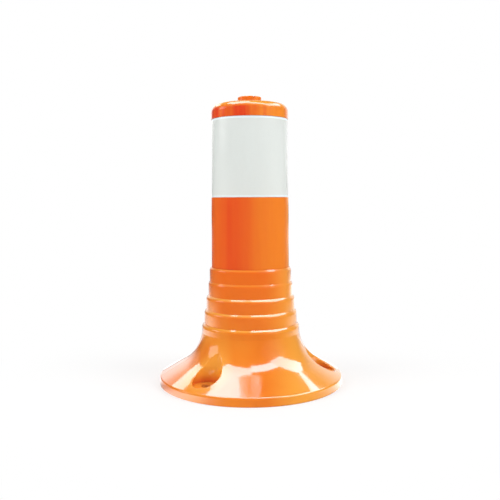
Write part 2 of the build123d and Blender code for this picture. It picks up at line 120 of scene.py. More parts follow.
# Pale parts of the floor in the gloss: middle, reach and brightness
FLOOR_GLOWS = (
    (-0.078, -0.075, 0.06, 2.4),
    (-0.33, 0.10, 0.25, 1.1),
    (-0.42, 0.22, 0.45, 0.25),
    (0.12, -0.02, 0.09, 1.8),
    (0.33, 0.15, 0.25, 0.8),
    (-0.11, 0.01, 0.05, 1.2),
    (-0.13, 0.13, 0.13, 1.3),
    (0.13, 0.13, 0.13, 1.2),
    (-0.27, 0.48, 0.25, 0.6),
    (0.36, 0.62, 0.45, 1.3),
    (1.5, 2.6, 2.4, 0.6),
    (0.0, 0.22, 0.40, 0.6),
    (0.0, 0.7, 0.75, 0.7),
    (0.0, 3.0, 2.6, 0.8),
)

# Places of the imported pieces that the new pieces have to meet
boot_low, boot_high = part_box("neck_boot")
tube_low, tube_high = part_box("post_tube")
band_low, band_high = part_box("reflective_band")
spring_low, spring_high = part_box("return_spring")
lower_mouth_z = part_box("lower_spring_socket")[1].z
upper_mouth_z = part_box("upper_spring_socket")[0].z
collar_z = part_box("base_flange")[1].z


def linear(code):
    """Linear red, green and blue of an sRGB hex code."""
    shares = [int(code[i:i + 2], 16) / 255 for i in (1, 3, 5)]
    return tuple(s / 12.92 if s <= 0.04045 else ((s + 0.055) / 1.055) ** 2.4 for s in shares)


def colour(name, description, code):
    """Colour property with an sRGB hex code as its default."""
    return FloatVectorProperty(
        name=name, description=description, subtype="COLOR", size=3, min=0.0, max=1.0, default=linear(code)
    )


def length(name, description, default):
    """Length property in metres."""
    return FloatProperty(
        name=name, description=description, default=default, min=0.0, precision=4,
        subtype="DISTANCE", unit="LENGTH",
    )


class DelineatorSizes(PropertyGroup):
    """Sizes of the pieces that are modelled here."""

    step_height: length("Step height", "Height of each step of the neck", 14.4 * MM)
    shoulder_slope: length("Shoulder slope", "Height of the slope at the top of each step", 2.5 * MM)
    shoulder_round: length("Shoulder round", "Radius of the round below that slope", 4.3 * MM)
    mouth_land: length("Mouth land", "Flat ring at the boot's mouth, round the tube", 0.5 * MM)
    boot_wall: length("Boot wall", "Thickness of the neck boot", 3.0 * MM)
    boot_foot: length("Boot foot", "Width of the boot's inward foot", 2.8 * MM)
    boot_foot_height: length("Foot thickness", "Thickness of the boot's inward foot", 2.5 * MM)
    boot_head_lip: length("Head lip", "How far the boot's lip reaches under the tube", 5.0 * MM)
    boot_head_thickness: length("Lip thickness", "Thickness of that lip", 1.8 * MM)
    boot_ring_gap: length("Ring gap", "Distance between the rings that let the boot bend", 1.2 * MM)
    wire: length("Spring wire", "Thickness of the spring's wire", 7.0 * MM)
    spring_split: length("Spring split", "Height at which the spring's two halves meet", 72.0 * MM)
    sheeting: length("Sheeting thickness", "Thickness of the reflective sheeting", 0.25 * MM)
    lap: length("Sheeting lap", "How far the sheeting laps over its own start", 9.0 * MM)
    ledges: FloatVectorProperty(
        name="Ledges", description="Width of each ledge of the boot, from the lowest up", size=NECK_STEPS,
        default=(2.1 * MM, 2.2 * MM, 1.3 * MM, 2.2 * MM), precision=4, unit="LENGTH",
    )
    turns: FloatProperty(name="Spring turns", description="Turns of the spring", default=11.5, min=1.0)
    facets: IntProperty(name="Facets", description="Facets round each turned piece", default=144, min=24)


class DelineatorColours(PropertyGroup):
    """Colours of the finishes."""

    base_orange: colour("Base orange", "Main colour of the base", "#EE8626")
    base_deep: colour("Base deep orange", "Deeper clouds in the base", "#E9781C")
    # Painted light: paler orange on the lit sides, shoulders, scoops and recess seats of the base and neck
    base_painted_light: colour("Faded orange", "Paler side of the base and neck", "#F3A23A")
    # Painted shade: deeper orange low in the recesses
    base_recess_shade: colour("Corner orange", "Deepest colour, on the walls of the recesses", "#DA5C26")
    neck_red: colour("Neck red", "Colour of the neck's top step", "#EA680C")
    # Painted shade and painted light: the tube's shaded and lit colours, also mixed in its streaks
    tube_shaded_red: colour("Tube red", "Redder side of the tube", "#E24C18")
    tube_lit_orange: colour("Tube orange", "Lighter side of the tube", "#EA7F20")
    # Painted shade and painted light: the cap's shaded and lit colours, also mixed in its streaks
    cap_shaded_red: colour("Cap red", "Redder streaks of the cap", "#E1431B")
    cap_lit_orange: colour("Cap orange", "Lighter streaks of the cap", "#EF8A28")
    # Painted light: upward faces of the cap and nut, and a painted highlight on the tube's right edge
    cap_painted_light: colour("Cap faded", "Upward faces of the cap, and the tube's palest strip", "#F5A233")
    # Painted shade and painted light: the nut's shaded and lit colours
    nut_shaded_red: colour("Nut red", "Redder streaks of the nut", "#EC6A16")
    nut_lit_orange: colour("Nut orange", "Lighter streaks of the nut", "#F8962C")
    sheeting: colour("Sheeting", "Reflective sheeting", "#DFE4E0")
    # Drawn as a paler bluish strip along the top and bottom of the sheeting
    sheeting_edge: colour("Sheeting edge", "Sealed edge of the sheeting", "#E6F5FA")
    zinc: colour("Zinc plate", "Bright zinc plate", "#C9CACB")
    zinc_dull: colour("Dull zinc", "Duller grains of the zinc plate", "#A9ABAE")
    aluminium: colour("Aluminium", "Turned aluminium", "#D2D4D6")
    spring_steel: colour("Spring steel", "Phosphated spring steel", "#35373A")
    spring_oil: colour("Oiled steel", "Oilier patches of the spring", "#1E1F21")
    rubber: colour("Rubber", "Black moulded rubber", "#1A1A1B")
    rubber_bloom: colour("Rubber bloom", "Paler bloom on the rubber", "#2C2C2D")
    paper: colour("Paper", "Paper of the backdrop", "#EDEDED")
    white: colour("White", "Bright surfaces of the studio", "#FFFFFF")


class DelineatorStage(PropertyGroup):
    """Camera and light."""

    distance: length("Camera distance", "Distance from the post's axis to the camera", 692.3 * MM)
    height: length("Camera height", "Height of the level camera over the floor", 187.8 * MM)
    lens: FloatProperty(name="Lens", description="Focal length in millimetres", default=47.94, min=1.0)
    rise: FloatProperty(
        name="Lens shift", description="Vertical shift of the lens, as a share of the width", default=-0.1017
    )
    roll: FloatProperty(
        name="Camera roll", description="Turn of the camera about its view, in degrees", default=0.3
    )
    ambient: FloatProperty(
        name="Ambient", description="Light that comes from all round", default=0.82, min=0.0
    )
    room_gloss: FloatProperty(
        name="Room in the gloss", description="Brightness of the room in reflections", default=0.06, min=0.0
    )


def add_node(tree, kind, inputs=(), output=0, **settings):
    """Add a node with its settings, set or link its sockets, and give one of its outputs."""
    made = tree.nodes.new(kind)
    for name, value in settings.items():
        setattr(made, name, value)
    for socket, source in dict(inputs).items():
        if isinstance(source, bpy.types.NodeSocket):
            tree.links.new(source, made.inputs[socket])
        else:
            made.inputs[socket].default_value = source
    return made.outputs[output] if made.outputs else None


def opaque(tint):
    """Red, green, blue and full opacity of a colour."""
    return (*tint, 1)


def new_material(name):
    """Empty node material, its tree and the Object coordinates that its patterns read."""
    made = bpy.data.materials.new(name)
    made.use_nodes = True
    made.node_tree.nodes.clear()
    place = add_node(made.node_tree, "ShaderNodeTexCoord", output="Object")
    return made, made.node_tree, place


def painted_light_parts(tree, place):
    """Share of painted light on the base and neck: lit sides, shoulder highlights and scoop reflections."""
    across = add_node(tree, "ShaderNodeSeparateXYZ", {0: place}, "X")
    height = add_node(tree, "ShaderNodeSeparateXYZ", {0: place}, "Z")
    facing = add_node(tree, "ShaderNodeTexCoord", output="Normal")
    upward = add_node(tree, "ShaderNodeSeparateXYZ", {0: facing}, "Z")
    # Painted light: the sides are drawn paler, most on the right
    right = add_node(tree, "ShaderNodeMapRange", {
        "Value": across, "From Min": 10 * MM, "From Max": 48 * MM, "To Max": 0.95},
        interpolation_type="SMOOTHSTEP")
    left = add_node(tree, "ShaderNodeMapRange", {
        "Value": across, "From Min": -26 * MM, "From Max": -46 * MM, "To Max": 0.55},
        interpolation_type="SMOOTHSTEP")
    over_flare = add_node(tree, "ShaderNodeMapRange", {
        "Value": height, "From Min": collar_z - 20 * MM, "From Max": collar_z - 10 * MM})
    low_neck = add_node(tree, "ShaderNodeMapRange", {
        "Value": height, "From Min": collar_z + 36 * MM, "From Max": collar_z + 18 * MM, "To Min": 0.3})
    heights = add_node(tree, "ShaderNodeMath", {0: over_flare, 1: low_neck}, operation="MULTIPLY")
    lit_left_side = add_node(tree, "ShaderNodeMath", {0: left, 1: heights}, operation="MULTIPLY")
    # Painted highlight on the neck's shoulders, where the surface looks up
    painted_shoulder_highlight = add_node(tree, "ShaderNodeMapRange", {
        "Value": upward, "From Min": 0.36, "From Max": 0.65, "To Max": 0.85})
    shoulders = add_node(tree, "ShaderNodeMath", {0: painted_shoulder_highlight, 1: over_flare}, operation="MULTIPLY")
    sides = add_node(tree, "ShaderNodeMath", {0: lit_left_side, 1: right}, operation="MAXIMUM")
    painted_light = add_node(tree, "ShaderNodeMath", {0: shoulders, 1: sides}, operation="MAXIMUM")
    flat = add_node(tree, "ShaderNodeVectorMath", {0: place, 1: (1, 1, 0)}, operation="MULTIPLY")
    # Painted reflection: a paler patch over the scoop above each recess
    for heading in RECESS_HEADINGS:
        middle = Matrix.Rotation(radians(heading), 3, "Z") @ Vector((RECESS_RADIUS, 0, 0))
        away = add_node(tree, "ShaderNodeVectorMath", {0: flat, 1: middle}, "Value", operation="DISTANCE")
        painted_scoop_light = add_node(tree, "ShaderNodeMapRange", {
            "Value": away, "From Min": 27 * MM, "From Max": 16 * MM, "To Max": 0.8})
        painted_light = add_node(tree, "ShaderNodeMath", {0: painted_scoop_light, 1: painted_light}, operation="MAXIMUM")
    return painted_light


def recess_shade_and_light(tree, place):
    """Painted shade low in the recesses and painted light on their seats, found by how shut in they are."""
    height = add_node(tree, "ShaderNodeSeparateXYZ", {0: place}, "Z")
    facing = add_node(tree, "ShaderNodeTexCoord", output="Normal")
    upward = add_node(tree, "ShaderNodeSeparateXYZ", {0: facing}, "Z")
    open_air = add_node(tree, "ShaderNodeAmbientOcclusion", {"Distance": 16 * MM}, "AO", only_local=True)
    # Painted light on the level seats inside the recesses
    level = add_node(tree, "ShaderNodeMapRange", {"Value": upward, "From Min": 0.9, "From Max": 0.98})
    enclosed = add_node(tree, "ShaderNodeMapRange", {
        "Value": open_air, "From Min": 0.9, "From Max": 0.6, "To Max": 0.9})
    seats = add_node(tree, "ShaderNodeMath", {0: level, 1: enclosed}, operation="MULTIPLY")
    # Painted shade on the walls low in each recess
    down_wall = add_node(tree, "ShaderNodeMapRange", {
        "Value": height, "From Min": 20.5 * MM, "From Max": 15.5 * MM, "To Max": 0.85})
    shut_in = add_node(tree, "ShaderNodeMapRange", {"Value": open_air, "From Min": 0.8, "From Max": 0.5})
    walls = add_node(tree, "ShaderNodeMath", {0: down_wall, 1: shut_in}, operation="MULTIPLY")
    return walls, seats


def cast_polyurethane(name, colours, rough, coat):
    # Polyurethane cast in a mould: slow waves where it shrank, a faint orange peel, and deeper clouds where
    # the pigment settled. The upper neck is redder than the base. The sides, the neck's shoulders and the
    # scoops are drawn a paler, yellower orange: painted light on the lit sides, painted highlights on the
    # shoulders and painted reflections in the scoops. Low in the recesses the walls are drawn deeper,
    # painted shade, and the seats paler, painted light. A coat gives the wet gloss.
    made, tree, place = new_material(name)
    height = add_node(tree, "ShaderNodeSeparateXYZ", {0: place}, "Z")
    up_neck = add_node(tree, "ShaderNodeMapRange", {
        "Value": height, "From Min": collar_z - 14 * MM, "From Max": boot_high.z})
    clouds = add_node(tree, "ShaderNodeTexNoise", {
        "Vector": place, "Scale": 1 / (42 * MM), "Detail": 2.0, "Roughness": 0.45})
    clouded = add_node(tree, "ShaderNodeMapRange", {"Value": clouds, "From Min": 0.38, "From Max": 0.68})
    walls, seats = recess_shade_and_light(tree, place)
    # Painted light on sides, shoulders and scoops, painted shade low in the recesses, painted light on seats
    layers = (
        (clouded, colours.base_deep),
        (up_neck, colours.neck_red),
        (painted_light_parts(tree, place), colours.base_painted_light),
        (walls, colours.base_recess_shade),
        (seats, colours.base_painted_light),
    )
    tint = opaque(colours.base_orange)
    for share, layer in layers:
        tint = add_node(tree, "ShaderNodeMix", {SHARE: share, FIRST: tint, SECOND: opaque(layer)}, MIXED,
                        data_type="RGBA")
    waves = add_node(tree, "ShaderNodeTexNoise", {
        "Vector": place, "Scale": 1 / (26 * MM), "Detail": 1.0, "Roughness": 0.4})
    peel = add_node(tree, "ShaderNodeTexNoise", {"Vector": place, "Scale": 1 / (2.4 * MM), "Detail": 1.0})
    calmer = add_node(tree, "ShaderNodeMapRange", {
        "Value": height, "From Min": collar_z - 18 * MM, "From Max": collar_z - 8 * MM,
        "To Min": 0.30, "To Max": 0.08})
    waved = add_node(tree, "ShaderNodeBump", {"Strength": calmer, "Distance": 2.0 * MM, "Height": waves})
    peeled = add_node(tree, "ShaderNodeBump", {
        "Strength": 0.05, "Distance": 0.3 * MM, "Height": peel, "Normal": waved})
    gloss = add_node(tree, "ShaderNodeMapRange", {
        "Value": clouds, "To Min": rough - 0.04, "To Max": rough + 0.04})
    shader = add_node(tree, "ShaderNodeBsdfPrincipled", {
        "Base Color": tint, "Roughness": gloss, "IOR": 1.48, "Normal": peeled,
        "Coat Weight": coat, "Coat Roughness": 0.04, "Coat IOR": 1.55})
    add_node(tree, "ShaderNodeOutputMaterial", {"Surface": shader})
    return made


def drawn_polyethylene(name, red, orange, painted_light, streak, sheen, streak_share, lit_left_share, lit_edge_share, coat):
    # Polyethylene pigmented orange and drawn along the post: a soft satin. Its colour is drawn redder left
    # of its middle and lighter to the right and at the far left: painted shade and painted light. Long
    # upright streaks are partly pigment drawn out in the flow and partly painted reflections on the satin.
    # Faces that look up and the edge of the right side are drawn a paler yellow orange: painted light from
    # above and a painted highlight along that edge. A coat gives the polished mouldings their gloss.
    made, tree, place = new_material(name)
    facing = add_node(tree, "ShaderNodeTexCoord", output="Normal")
    upward = add_node(tree, "ShaderNodeSeparateXYZ", {0: facing}, "Z")
    across = add_node(tree, "ShaderNodeSeparateXYZ", {0: place}, "X")
    # Painted light: faces that look up and the right edge are drawn paler
    lit_from_above = add_node(tree, "ShaderNodeMapRange", {
        "Value": upward, "From Min": 0.2, "From Max": 0.7, "To Max": 0.9})
    edge = add_node(tree, "ShaderNodeMapRange", {
        "Value": across, "From Min": 36.5 * MM, "From Max": 40 * MM, "To Max": lit_edge_share})
    painted_highlights = add_node(tree, "ShaderNodeMath", {0: lit_from_above, 1: edge}, operation="MAXIMUM")
    # Painted shade and painted light: redder on the shaded side, lighter on the lit sides
    right = add_node(tree, "ShaderNodeMapRange", {
        "Value": across, "From Min": -18 * MM, "From Max": 30 * MM, "To Min": 0.12, "To Max": 0.95},
        interpolation_type="SMOOTHSTEP")
    left = add_node(tree, "ShaderNodeMapRange", {
        "Value": across, "From Min": -16 * MM, "From Max": -34 * MM, "To Max": lit_left_share},
        interpolation_type="SMOOTHSTEP")
    side = add_node(tree, "ShaderNodeMath", {0: left, 1: right}, operation="MAXIMUM")
    drawn = add_node(tree, "ShaderNodeMapping", {"Vector": place, "Scale": (1, 1, 0.06)})
    streaks = add_node(tree, "ShaderNodeTexNoise", {
        "Vector": drawn, "Scale": 1 / streak, "Detail": 3.0, "Roughness": 0.6})
    # Streaks: partly pigment drawn out, partly painted reflections on the satin
    streaks_and_sheen = add_node(tree, "ShaderNodeMapRange", {
        "Value": streaks, "From Min": 0.3, "From Max": 0.7, "To Min": -streak_share, "To Max": streak_share})
    share = add_node(tree, "ShaderNodeMath", {0: side, 1: streaks_and_sheen}, use_clamp=True)
    body = add_node(tree, "ShaderNodeMix", {SHARE: share, FIRST: opaque(red), SECOND: opaque(orange)}, MIXED,
                    data_type="RGBA")
    tint = add_node(tree, "ShaderNodeMix", {SHARE: painted_highlights, FIRST: body, SECOND: opaque(painted_light)}, MIXED,
                    data_type="RGBA")
    grain = add_node(tree, "ShaderNodeTexNoise", {"Vector": drawn, "Scale": 1 / (1.6 * MM), "Detail": 2.0})
    rough = add_node(tree, "ShaderNodeMapRange", {
        "Value": grain, "To Min": sheen - 0.02, "To Max": sheen + 0.02})
    bump = add_node(tree, "ShaderNodeBump", {"Strength": 0.02, "Distance": 0.2 * MM, "Height": grain})
    shader = add_node(tree, "ShaderNodeBsdfPrincipled", {
        "Base Color": tint, "Roughness": rough, "IOR": 1.52, "Normal": bump,
        "Coat Weight": coat, "Coat Roughness": 0.06, "Coat IOR": 1.5})
    add_node(tree, "ShaderNodeOutputMaterial", {"Surface": shader})
    return made


def beaded_sheeting(colours):
    # Retroreflective sheeting: glass beads under a clear satin film, grey-white in soft clouds and drawn
    # darker towards its top, which is painted shade, with a paler bluish strip top and bottom. Its fine
    # grain is drawn coarser than the real 0.1 mm beads so that it shows.
    made, tree, place = new_material("Retroreflective sheeting, beaded film")
    middle = (band_low.z + band_high.z) / 2
    half = (band_high.z - band_low.z) / 2
    height = add_node(tree, "ShaderNodeSeparateXYZ", {0: place}, "Z")
    off_middle = add_node(tree, "ShaderNodeMath", {0: height, 1: middle}, operation="SUBTRACT")
    reach = add_node(tree, "ShaderNodeMath", {0: off_middle}, operation="ABSOLUTE")
    # A paler bluish strip along the top and bottom of the sheeting
    rim_strips = add_node(tree, "ShaderNodeMapRange", {
        "Value": reach, "From Min": half - 2.3 * MM, "From Max": half - 1.9 * MM})
    beads = add_node(tree, "ShaderNodeTexVoronoi", {"Vector": place, "Scale": 1 / (0.8 * MM)}, "Color")
    bead = add_node(tree, "ShaderNodeSeparateColor", {0: beads}, "Red")
    cloud = add_node(tree, "ShaderNodeTexNoise", {"Vector": place, "Scale": 1 / (30 * MM)})
    tone = add_node(tree, "ShaderNodeMath", {0: bead, 1: 0.05}, operation="MULTIPLY")
    clouded = add_node(tree, "ShaderNodeMath", {0: cloud, 1: 0.08, 2: tone}, operation="MULTIPLY_ADD")
    # Painted shade: the sheeting is drawn darker towards its top
    painted_top_shade = add_node(tree, "ShaderNodeMapRange", {
        "Value": height, "From Min": band_low.z, "From Max": band_high.z, "To Max": 0.28})
    dull = add_node(tree, "ShaderNodeMath", {0: clouded, 1: painted_top_shade})
    grey = tuple(CLOUD_AND_TOP_SHADE * c for c in colours.sheeting)
    film = add_node(tree, "ShaderNodeMix", {
        SHARE: dull, FIRST: opaque(colours.sheeting), SECOND: opaque(grey)}, MIXED, data_type="RGBA")
    face = add_node(tree, "ShaderNodeMix", {
        SHARE: rim_strips, FIRST: film, SECOND: opaque(colours.sheeting_edge)}, MIXED, data_type="RGBA")
    bump = add_node(tree, "ShaderNodeBump", {"Strength": 0.04, "Distance": 0.1 * MM, "Height": bead})
    shader = add_node(tree, "ShaderNodeBsdfPrincipled", {
        "Base Color": face, "Roughness": 0.22, "IOR": 1.5, "Normal": bump})
    add_node(tree, "ShaderNodeOutputMaterial", {"Surface": shader})
    return made


def plated_zinc(colours):
    # Bright zinc plate over steel: a cool grey with small grains of differing shine.
    made, tree, place = new_material("Zinc-plated steel, bright")
    grains = add_node(tree, "ShaderNodeTexVoronoi", {"Vector": place, "Scale": 1 / (1.8 * MM)}, "Color")
    grain = add_node(tree, "ShaderNodeSeparateColor", {0: grains}, "Green")
    tint = add_node(tree, "ShaderNodeMix", {
        SHARE: grain, FIRST: opaque(colours.zinc), SECOND: opaque(colours.zinc_dull)}, MIXED,
        data_type="RGBA")
    rough = add_node(tree, "ShaderNodeMapRange", {"Value": grain, "To Min": 0.24, "To Max": 0.42})
    shader = add_node(tree, "ShaderNodeBsdfPrincipled", {
        "Base Color": tint, "Metallic": 1.0, "Roughness": rough})
    add_node(tree, "ShaderNodeOutputMaterial", {"Surface": shader})
    return made


def turned_aluminium(colours):
    # Aluminium turned on a lathe: fine rings round the axis that stretch each highlight.
    made, tree, place = new_material("Aluminium, turned")
    rings = add_node(tree, "ShaderNodeTexWave", {
        "Vector": place, "Scale": 1 / (6 * MM), "Distortion": 0.6, "Detail": 2.0}, "Fac",
        wave_type="RINGS", rings_direction="Z")
    grey = tuple(GROOVE_SHADE * c for c in colours.aluminium)
    tint = add_node(tree, "ShaderNodeMix", {
        SHARE: rings, FIRST: opaque(colours.aluminium), SECOND: opaque(grey)}, MIXED, data_type="RGBA")
    bump = add_node(tree, "ShaderNodeBump", {"Strength": 0.1, "Distance": 0.1 * MM, "Height": rings})
    shader = add_node(tree, "ShaderNodeBsdfPrincipled", {
        "Base Color": tint, "Metallic": 1.0, "Roughness": 0.32, "Normal": bump})
    add_node(tree, "ShaderNodeOutputMaterial", {"Surface": shader})
    return made


def phosphated_steel(colours):
    # Spring steel, phosphated and oiled: near black, a dull grain with oily patches that shine more.
    made, tree, place = new_material("Spring steel, phosphated and oiled")
    patches = add_node(tree, "ShaderNodeTexNoise", {"Vector": place, "Scale": 1 / (9 * MM), "Detail": 4.0})
    tint = add_node(tree, "ShaderNodeMix", {
        SHARE: patches, FIRST: opaque(colours.spring_steel), SECOND: opaque(colours.spring_oil)}, MIXED,
        data_type="RGBA")
    rough = add_node(tree, "ShaderNodeMapRange", {"Value": patches, "To Min": 0.55, "To Max": 0.28})
    shader = add_node(tree, "ShaderNodeBsdfPrincipled", {
        "Base Color": tint, "Metallic": 0.7, "Roughness": rough})
    add_node(tree, "ShaderNodeOutputMaterial", {"Surface": shader})
    return made


def moulded_rubber(colours):
    # Moulded rubber: black and dull, with a paler bloom and a fine pebble.
    made, tree, place = new_material("Rubber, moulded")
    bloom = add_node(tree, "ShaderNodeTexNoise", {"Vector": place, "Scale": 1 / (4 * MM), "Detail": 3.0})
    tint = add_node(tree, "ShaderNodeMix", {
        SHARE: bloom, FIRST: opaque(colours.rubber), SECOND: opaque(colours.rubber_bloom)}, MIXED,
        data_type="RGBA")
    bump = add_node(tree, "ShaderNodeBump", {"Strength": 0.2, "Distance": 0.1 * MM, "Height": bloom})
    shader = add_node(tree, "ShaderNodeBsdfPrincipled", {
        "Base Color": tint, "Roughness": 0.62, "IOR": 1.52, "Normal": bump})
    add_node(tree, "ShaderNodeOutputMaterial", {"Surface": shader})
    return made


def dress(names, material):
    """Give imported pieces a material."""
    for name in names:
        slots = nodes[name].material_slots
        if not slots:
            raise RuntimeError(f"{name} has no material slot")
        for slot in slots:
            slot.material = material


def new_piece(name, shape, material, crease=35):
    """Object made of a bmesh, smooth shaded up to the crease angle in degrees, placed by its mesh."""
    for face in shape.faces:
        face.smooth = True
    for edge in shape.edges:
        edge.smooth = edge.is_manifold and edge.calc_face_angle() < radians(crease)
    mesh = bpy.data.meshes.new(name)
    shape.to_mesh(mesh)
    shape.free()
    mesh.materials.append(material)
    piece = bpy.data.objects.new(name, mesh)
    bpy.context.scene.collection.objects.link(piece)
    return piece


def turned_shape(section, facets):
    """Closed shell of a section given as radii and heights, spun once round the post's axis."""
    shape = bmesh.new()
    corners = [shape.verts.new((radius, 0, height)) for radius, height in section]
    sides = [shape.edges.new((a, b)) for a, b in zip(corners, corners[1:] + corners[:1])]
    bmesh.ops.spin(shape, geom=corners + sides, cent=(0, 0, 0), axis=(0, 0, 1), dvec=(0, 0, 0), angle=TURN,
                   steps=facets, use_merge=True, use_duplicate=False)
    bmesh.ops.remove_doubles(shape, verts=shape.verts, dist=MERGE)
    bmesh.ops.recalc_face_normals(shape, faces=shape.faces)
    return shape


def shoulder(radius, inner_radius, top, slope, bend):
    """Points from a step's upright side, through a round, up a slope to the foot of the next step."""
    slant = atan2(radius - inner_radius, slope)
    start = top - slope - bend * tan(slant / 2)
    angles = [slant * i / SHOULDER_SEGMENTS for i in range(SHOULDER_SEGMENTS + 1)]
    return [*((radius - bend * (1 - cos(a)), start + bend * sin(a)) for a in angles), (inner_radius, top)]


def ring_edges(shape, radius, height):
    """Edges of the ring at one radius and height."""
    return [edge for edge in shape.edges if all(
        abs(vert.co.xy.length - radius) < NEAR and abs(vert.co.z - height) < NEAR for vert in edge.verts)]


def cut_rings(shape, low, high, gap):
    """Cut level rings into a shape, so that it can bend."""
    count = round((high - low) / gap)
    for i in range(1, count):
        level = low + (high - low) * i / count
        bmesh.ops.bisect_plane(shape, geom=shape.verts[:] + shape.edges[:] + shape.faces[:], dist=NEAR,
                               plane_co=(0, 0, level), plane_no=(0, 0, 1))


class DELINEATOR_OT_base(Operator):
    """Finish the moulded base"""

    bl_idname = "delineator.base"
    bl_label = "Base"

    def execute(self, context):
        colours = context.scene.delineator_colours
        dress(["base_flange"], cast_polyurethane(
            "Cast polyurethane, polished mould", colours, rough=0.14, coat=1.0))
        return {"FINISHED"}


class DELINEATOR_OT_neck_boot(Operator):
    """Model the stepped neck boot in two halves, split at its second shoulder"""

    bl_idname = "delineator.neck_boot"
    bl_label = "Neck boot"

    def execute(self, context):
        sizes = context.scene.delineator_sizes
        colours = context.scene.delineator_colours
        elastic = cast_polyurethane("Cast polyurethane, elastic", colours, rough=0.22, coat=0.8)
        wall = sizes.boot_wall
        radii = [boot_high.x]
        for ledge in sizes.ledges[:NECK_STEPS - 1]:
            radii.append(radii[-1] - ledge)
        shoulders = [collar_z + sizes.step_height * (i + 1) for i in range(NECK_STEPS)]
        tube_seat = radii[3] - sizes.ledges[3] + MOUTH_GAP
        foot_bore = radii[0] - wall - sizes.boot_foot
        foot_top = boot_low.z + sizes.boot_foot_height
        lip_top = tube_low.z - LIP_GAP
        lip_low = lip_top - sizes.boot_head_thickness
        lip_bore = tube_high.x - sizes.boot_head_lip
        split_z = shoulders[1]
        inner = [*radii[1:], tube_seat + sizes.mouth_land]
        rounds = [shoulder(radii[i], inner[i], shoulders[i], sizes.shoulder_slope, sizes.shoulder_round)
                  for i in range(NECK_STEPS)]
        lower = [
            (foot_bore, boot_low.z), (radii[0], boot_low.z), *rounds[0], *rounds[1],
            (radii[2] - wall, split_z), (radii[2] - wall, split_z - wall), (radii[1] - wall, split_z - wall),
            (radii[1] - wall, shoulders[0] - wall), (radii[0] - wall, shoulders[0] - wall),
            (radii[0] - wall, foot_top), (foot_bore, foot_top),
        ]
        upper = [
            (radii[2], split_z), *rounds[2], *rounds[3], (tube_seat, shoulders[3]), (tube_seat, lip_top),
            (lip_bore, lip_top), (lip_bore, lip_low), (radii[3] - wall, lip_low),
            (radii[3] - wall, shoulders[2] - wall), (radii[2] - wall, shoulders[2] - wall),
            (radii[2] - wall, split_z),
        ]
        halves = (
            ("neck_boot_lower", lower, ("base", "spring"), (collar_z, split_z)),
            ("neck_boot_upper", upper, ("spring", "post"), (split_z, shoulders[3])),
        )
        for name, section, bodies, (start_z, end_z) in halves:
            shape = turned_shape(section, sizes.facets)
            cut_rings(shape, start_z, end_z, sizes.boot_ring_gap)
            piece = new_piece(name, shape, elastic, crease=20)
            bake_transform(piece)
            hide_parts("neck_boot")
        return {"FINISHED"}


class DELINEATOR_OT_return_spring(Operator):
    """Wind the return spring in two halves, split at one height between its sockets"""

    bl_idname = "delineator.return_spring"
    bl_label = "Return spring"

    def execute(self, context):
        sizes = context.scene.delineator_sizes
        steel = phosphated_steel(context.scene.delineator_colours)
        mean_radius = spring_high.x - sizes.wire / 2
        low_z = spring_low.z + sizes.wire / 2
        pitch = (spring_high.z - spring_low.z - sizes.wire) / sizes.turns
        split_z = sizes.spring_split
        split = round((split_z - low_z) / pitch * WIRE_STEPS)
        last = round(sizes.turns * WIRE_STEPS)
        lean = Matrix.Rotation(radians(90) + atan2(pitch, TURN * mean_radius), 4, "X")
        halves = (
            ("return_spring_lower", 0, split, ("base", "spring"), (lower_mouth_z, split_z)),
            ("return_spring_upper", split, last, ("spring", "post"), (split_z, upper_mouth_z)),
        )
        for name, first, end, bodies, (start_z, end_z) in halves:
            shape = bmesh.new()
            heading = Matrix.Rotation(TURN * first / WIRE_STEPS, 4, "Z")
            rise = Matrix.Translation((mean_radius, 0, low_z + pitch * first / WIRE_STEPS))
            bmesh.ops.create_circle(shape, cap_ends=False, segments=WIRE_FACETS, radius=sizes.wire / 2,
                                    matrix=heading @ rise @ lean)
            bmesh.ops.spin(shape, geom=shape.verts[:] + shape.edges[:], cent=(0, 0, 0), axis=(0, 0, 1),
                           dvec=(0, 0, pitch / WIRE_STEPS), angle=TURN * (end - first) / WIRE_STEPS,
                           steps=end - first, use_merge=False, use_duplicate=False)
            bmesh.ops.holes_fill(shape, edges=shape.edges, sides=0)
            bmesh.ops.recalc_face_normals(shape, faces=shape.faces)
            piece = new_piece(name, shape, steel)
            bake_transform(piece)
            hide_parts("return_spring")
        return {"FINISHED"}


class DELINEATOR_OT_tube(Operator):
    """Finish the tube"""

    bl_idname = "delineator.tube"
    bl_label = "Tube"

    def execute(self, context):
        colours = context.scene.delineator_colours
        dress(["post_tube"], drawn_polyethylene(
            "Polyethylene, drawn satin", colours.tube_shaded_red, colours.tube_lit_orange, colours.cap_painted_light,
            streak=14 * MM, sheen=0.19, streak_share=0.14, lit_left_share=0.42, lit_edge_share=0.9, coat=0.0))
        return {"FINISHED"}


